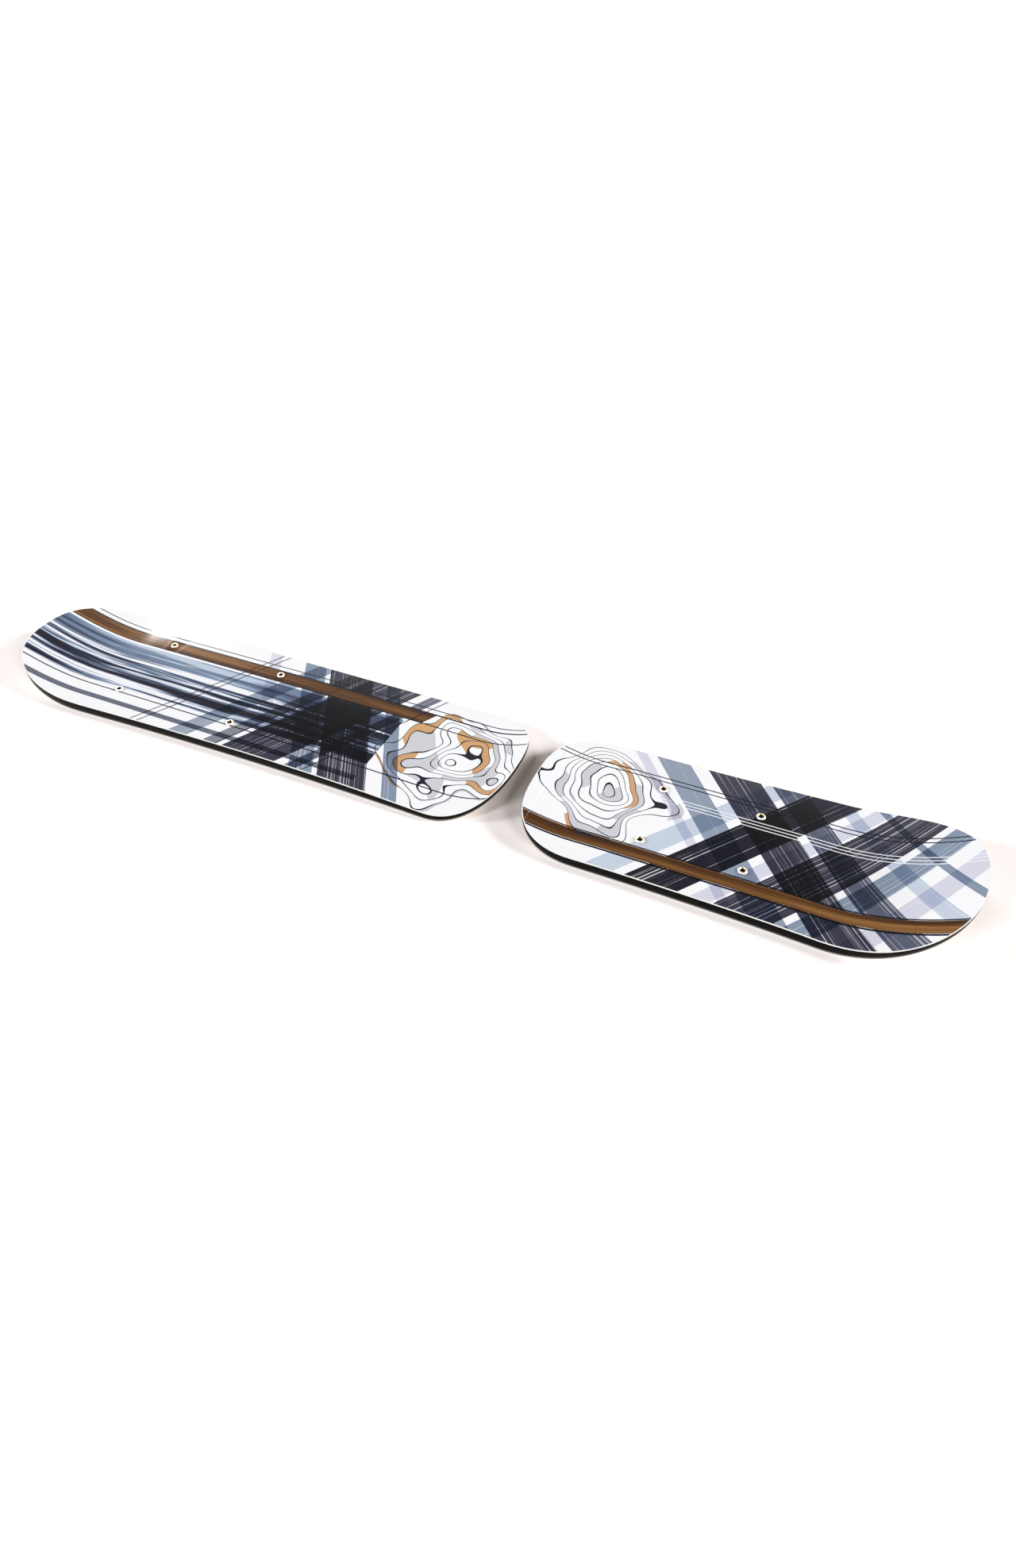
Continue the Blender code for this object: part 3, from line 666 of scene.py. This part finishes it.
# Screws. Eight M6 screws that fill the inserts: turned steel, nickel plated, a wide head dished in
# the middle with a pressed cross recess. The dish carries painted shade: darker and brassy below
# the rim, and black at its floor.
HEAD_RADIUS = 0.0065
RIM_HEIGHT = 0.0022
DISH_RADIUS = 0.0042
DISH_FLOOR_RADIUS = 0.0026
DISH_FLOOR = 0.0008
DISH_CURVE = ((0.0029, 0.0009), (0.0034, 0.0014), (0.0039, 0.0020))
DOME_CURVE = ((0.0047, RIM_HEIGHT), (0.0055, 0.0020), (0.0061, 0.0016), (0.0064, 0.0011),
              (HEAD_RADIUS, 0.0006))
SHANK_RADIUS = 0.003
SHANK_LENGTH = 0.008
SEAT_GAP = 0.0003
RECESS_SPAN = 0.0088
RECESS_SLOT = 0.0021
RECESS_DEPTH = 0.0019
RECESS_FLOOR_SCALE = 0.85
RECESS_TURN = 25
TURN_SPREAD = 7
TURN_STEPS = 48
WELD_DISTANCE = 1e-6
NICKEL = "#E8E3D6"
# Painted shade in the dish, by depth below the rim: a darker brassy tone, then black at its floor
NICKEL_BRASSY_SHADE = "#A8925F"
PAINTED_DISH_SHADE = "#15120E"
TURNING_RING_MM = 0.24
BRASSY_SHADE_BELOW_RIM = 0.0003
SHADE_STARTS_BELOW_RIM = 0.0007
SHADE_FULL_BELOW_RIM = 0.0012

# Nickel over turned steel: warm, satin, with a faint spin of rings round the head, and painted
# shade in the dish: darker and brassy below the rim, black at its floor
nickel = bare_material("nickel_plated_steel_turned")
tree = nickel.node_tree
radius = add(tree, "ShaderNodeAttribute", attribute_name="from_axis", attribute_type="GEOMETRY")
depth = add(tree, "ShaderNodeAttribute", attribute_name="below_rim", attribute_type="GEOMETRY")
# Painted shade: the dish turns a darker brassy tone just below the rim
dish = add(tree, "ShaderNodeMapRange", {"Value": depth.outputs["Fac"], "From Min": 0.0,
                                        "From Max": BRASSY_SHADE_BELOW_RIM})
tone = add(tree, "ShaderNodeMix", {0: dish.outputs[0], 6: linear(NICKEL), 7: linear(NICKEL_BRASSY_SHADE)},
           data_type="RGBA")
# Painted shade: deeper in the dish the colour turns black at its floor
floor_shade = add(tree, "ShaderNodeMapRange", {"Value": depth.outputs["Fac"],
                                       "From Min": SHADE_STARTS_BELOW_RIM,
                                       "From Max": SHADE_FULL_BELOW_RIM})
tone = add(tree, "ShaderNodeMix", {0: floor_shade.outputs[0], 6: tone.outputs[2], 7: linear(PAINTED_DISH_SHADE)},
           data_type="RGBA")
rings = add(tree, "ShaderNodeMath", {0: radius.outputs["Fac"], 1: 2000 * pi / TURNING_RING_MM},
            operation="MULTIPLY")
rings = add(tree, "ShaderNodeMath", {0: rings.outputs[0]}, operation="SINE")
bump = add(tree, "ShaderNodeBump", {"Height": rings.outputs[0], "Strength": 0.08,
                                    "Distance": 0.00004})
shader = add(tree, "ShaderNodeBsdfPrincipled", {
    "Base Color": tone.outputs[2], "Metallic": 1.0, "Roughness": 0.34, "Normal": bump.outputs[0]})
add(tree, "ShaderNodeOutputMaterial", {"Surface": shader.outputs[0]})

# Half of a screw's outline, radius and height over the seat, from the dish to the shank's end
profile = [(0.0, DISH_FLOOR), (DISH_FLOOR_RADIUS, DISH_FLOOR), *DISH_CURVE,
           (DISH_RADIUS, RIM_HEIGHT), *DOME_CURVE, (HEAD_RADIUS, 0.0), (SHANK_RADIUS, 0.0),
           (SHANK_RADIUS, -SHANK_LENGTH), (0.0, -SHANK_LENGTH)]
body = bmesh.new()
points = [body.verts.new((away, 0, height)) for away, height in profile]
outline = [body.edges.new(pair) for pair in zip(points, points[1:])]
bmesh.ops.spin(body, geom=points + outline, cent=(0, 0, 0), axis=(0, 0, 1), angle=2 * pi,
               steps=TURN_STEPS, use_merge=True)
bmesh.ops.remove_doubles(body, verts=body.verts, dist=WELD_DISTANCE)
bmesh.ops.recalc_face_normals(body, faces=body.faces)
blank_mesh = bpy.data.meshes.new("screw_blank")
body.to_mesh(blank_mesh)
body.free()
blank = bpy.data.objects.new("screw_blank", blank_mesh)
bpy.context.scene.collection.objects.link(blank)
presses = []
for size in ((RECESS_SPAN, RECESS_SLOT), (RECESS_SLOT, RECESS_SPAN)):
    press = bmesh.new()
    bmesh.ops.create_cube(press, size=1.0)
    bmesh.ops.scale(press, vec=(*size, 2 * RECESS_DEPTH), verts=press.verts)
    floor_corners = [v for v in press.verts if v.co.z < 0]
    bmesh.ops.scale(press, vec=(RECESS_FLOOR_SCALE, RECESS_FLOOR_SCALE, 1.0), verts=floor_corners)
    bmesh.ops.translate(press, vec=(0, 0, RIM_HEIGHT), verts=press.verts)
    press_mesh = bpy.data.meshes.new("recess_press")
    press.to_mesh(press_mesh)
    press.free()
    presses.append(bpy.data.objects.new("recess_press", press_mesh))
    bpy.context.scene.collection.objects.link(presses[-1])
    recess = blank.modifiers.new("recess", "BOOLEAN")
    recess.object = presses[-1]
bpy.context.view_layer.update()
screw_shape = bpy.data.meshes.new_from_object(
    blank.evaluated_get(bpy.context.evaluated_depsgraph_get()))
for helper in presses + [blank]:
    bpy.data.objects.remove(helper)

for ski in SKIS:
    for number, (x, y) in enumerate(insert_places(ski), start=1):
        body = bmesh.new()
        body.from_mesh(screw_shape)
        from_axis = body.verts.layers.float.new("from_axis")
        below_rim = body.verts.layers.float.new("below_rim")
        for vert in body.verts:
            vert[from_axis] = vert.co.xy.length
            vert[below_rim] = RIM_HEIGHT - vert.co.z if vert[from_axis] <= DISH_RADIUS else 0
        turn = radians(RECESS_TURN + TURN_SPREAD * (number % 3 - 1))
        bmesh.ops.rotate(body, matrix=Matrix.Rotation(turn, 3, "Z"), verts=body.verts)
        bmesh.ops.translate(body, vec=(x, y, MID_THICKNESS + SEAT_GAP), verts=body.verts)
        finish_piece(f"{ski.name}_plug_screw_{number}", body, [nickel],
                     f"{ski.name}_screw_{number}")


# Core stringers. Strips of ash under the inserts and poplar elsewhere, glued edge to edge and
# planed to the core's thickness.
ASH_STRINGERS = (2, 5)
STRINGERS = range(1, 7)
GRAIN_LENGTH_MM = 330
ASH_RING_MM = 3.8
POPLAR_RING_MM = 5.5
ASH_EARLY = "#C9A77A"
ASH_LATE = "#9C7648"
POPLAR_EARLY = "#E0CDA2"
POPLAR_LATE = "#CDB484"


def wood(name, early, late, ring_mm):
    """Planed straight-grained wood, its growth rings drawn out along the ski."""
    material = bare_material(name)
    tree = material.node_tree
    grain = stretched_noise(tree, (GRAIN_LENGTH_MM, ring_mm, 2 * ring_mm), detail=4.0)
    ramp = add(tree, "ShaderNodeMapRange", {"Value": grain, "From Min": 0.35, "From Max": 0.65})
    tone = add(tree, "ShaderNodeMix", {0: ramp.outputs[0], 6: linear(early), 7: linear(late)},
               data_type="RGBA")
    pores = add(tree, "ShaderNodeBump", {"Height": grain, "Strength": 0.2, "Distance": 0.0002})
    shader = add(tree, "ShaderNodeBsdfPrincipled", {
        "Base Color": tone.outputs[2], "Roughness": 0.6, "IOR": 1.5, "Normal": pores.outputs[0]})
    add(tree, "ShaderNodeOutputMaterial", {"Surface": shader.outputs[0]})
    return material


# Ash: tan with bold brown rings, matt from the plane. Poplar: cream, its rings hardly darker.
ash = wood("ash_planed", ASH_EARLY, ASH_LATE, ASH_RING_MM)
poplar = wood("poplar_planed", POPLAR_EARLY, POPLAR_LATE, POPLAR_RING_MM)
for ski in SKIS:
    for number in STRINGERS:
        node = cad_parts[f"{ski.name}_stringer_{number}"]
        node.material_slots[0].material = ash if number in ASH_STRINGERS else poplar


# Laminates. One sheet of woven glass cloth set in clear epoxy below the core and one above it,
# pressed to the ski's curve with the other layers.
GLASS_GREEN = "#B8BFA0"
GLASS_PALE = "#D3D7C2"
TOW_MM = 2.5

# Glass in epoxy: pale green, half gloss, the weave a faint grid of bumps. A wave of scale 1 is
# 2 pi / 20 m long, and half a wave is one tow.
glass = bare_material("glass_cloth_in_epoxy")
tree = glass.node_tree
place = add(tree, "ShaderNodeTexCoord").outputs["Object"]
tow_scale = 1000 * pi / (10 * 2 * TOW_MM)
warp = add(tree, "ShaderNodeTexWave", {"Vector": place, "Scale": tow_scale}, bands_direction="X")
weft = add(tree, "ShaderNodeTexWave", {"Vector": place, "Scale": tow_scale}, bands_direction="Y")
weave = add(tree, "ShaderNodeMath", {0: warp.outputs["Fac"], 1: weft.outputs["Fac"]},
            operation="MULTIPLY")
tone = add(tree, "ShaderNodeMix", {0: weave.outputs[0], 6: linear(GLASS_GREEN), 7: linear(GLASS_PALE)},
           data_type="RGBA")
bump = add(tree, "ShaderNodeBump", {"Height": weave.outputs[0], "Strength": 0.3, "Distance": 0.0001})
shader = add(tree, "ShaderNodeBsdfPrincipled", {
    "Base Color": tone.outputs[2], "Roughness": 0.3, "IOR": 1.55, "Normal": bump.outputs[0]})
add(tree, "ShaderNodeOutputMaterial", {"Surface": shader.outputs[0]})

for ski in SKIS:
    for cloth in ("lower_laminate", "upper_laminate"):
        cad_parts[f"{ski.name}_{cloth}"].material_slots[0].material = glass


# Spacers. Grey ABS blocks that fill the tail and the tip beyond the wood, sanded thin to the ends
# and glued against the core.
ABS_GREY = "#54575B"
ABS_GREY_DUSTY = "#6A6D71"
SANDED_MM = (0.7, 0.7, 0.7)

# Sanded ABS: dull mid grey, finely speckled
spacer_abs = bare_material("grey_abs_sanded")
tree = spacer_abs.node_tree
sanded = stretched_noise(tree, SANDED_MM, detail=2.0)
tone = add(tree, "ShaderNodeMix", {0: sanded, 6: linear(ABS_GREY), 7: linear(ABS_GREY_DUSTY)},
           data_type="RGBA")
bump = add(tree, "ShaderNodeBump", {"Height": sanded, "Strength": 0.2, "Distance": 0.0001})
shader = add(tree, "ShaderNodeBsdfPrincipled", {
    "Base Color": tone.outputs[2], "Roughness": 0.6, "IOR": 1.53, "Normal": bump.outputs[0]})
add(tree, "ShaderNodeOutputMaterial", {"Surface": shader.outputs[0]})

for ski in SKIS:
    for end in ("tail", "tip"):
        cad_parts[f"{ski.name}_{end}_spacer"].material_slots[0].material = spacer_abs


# Inserts. Four turned stainless sleeves a ski, threaded M6 and flanged at the foot, pressed into
# the ash with epoxy before the ski is laid up.
INSERTS = range(1, 5)
STAINLESS = "#BEBDBB"
TURNED_MM = (5, 5, 0.17)

# Turned stainless: light grey, bright and dull by turns in fine rings
stainless = bare_material("stainless_steel_turned")
tree = stainless.node_tree
turned = stretched_noise(tree, TURNED_MM, detail=1.0)
rough = add(tree, "ShaderNodeMapRange", {"Value": turned, "To Min": 0.2, "To Max": 0.4})
shader = add(tree, "ShaderNodeBsdfPrincipled", {
    "Base Color": linear(STAINLESS), "Metallic": 1.0, "Roughness": rough.outputs[0]})
add(tree, "ShaderNodeOutputMaterial", {"Surface": shader.outputs[0]})

for ski in SKIS:
    for number in INSERTS:
        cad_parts[f"{ski.name}_insert_{number}"].material_slots[0].material = stainless
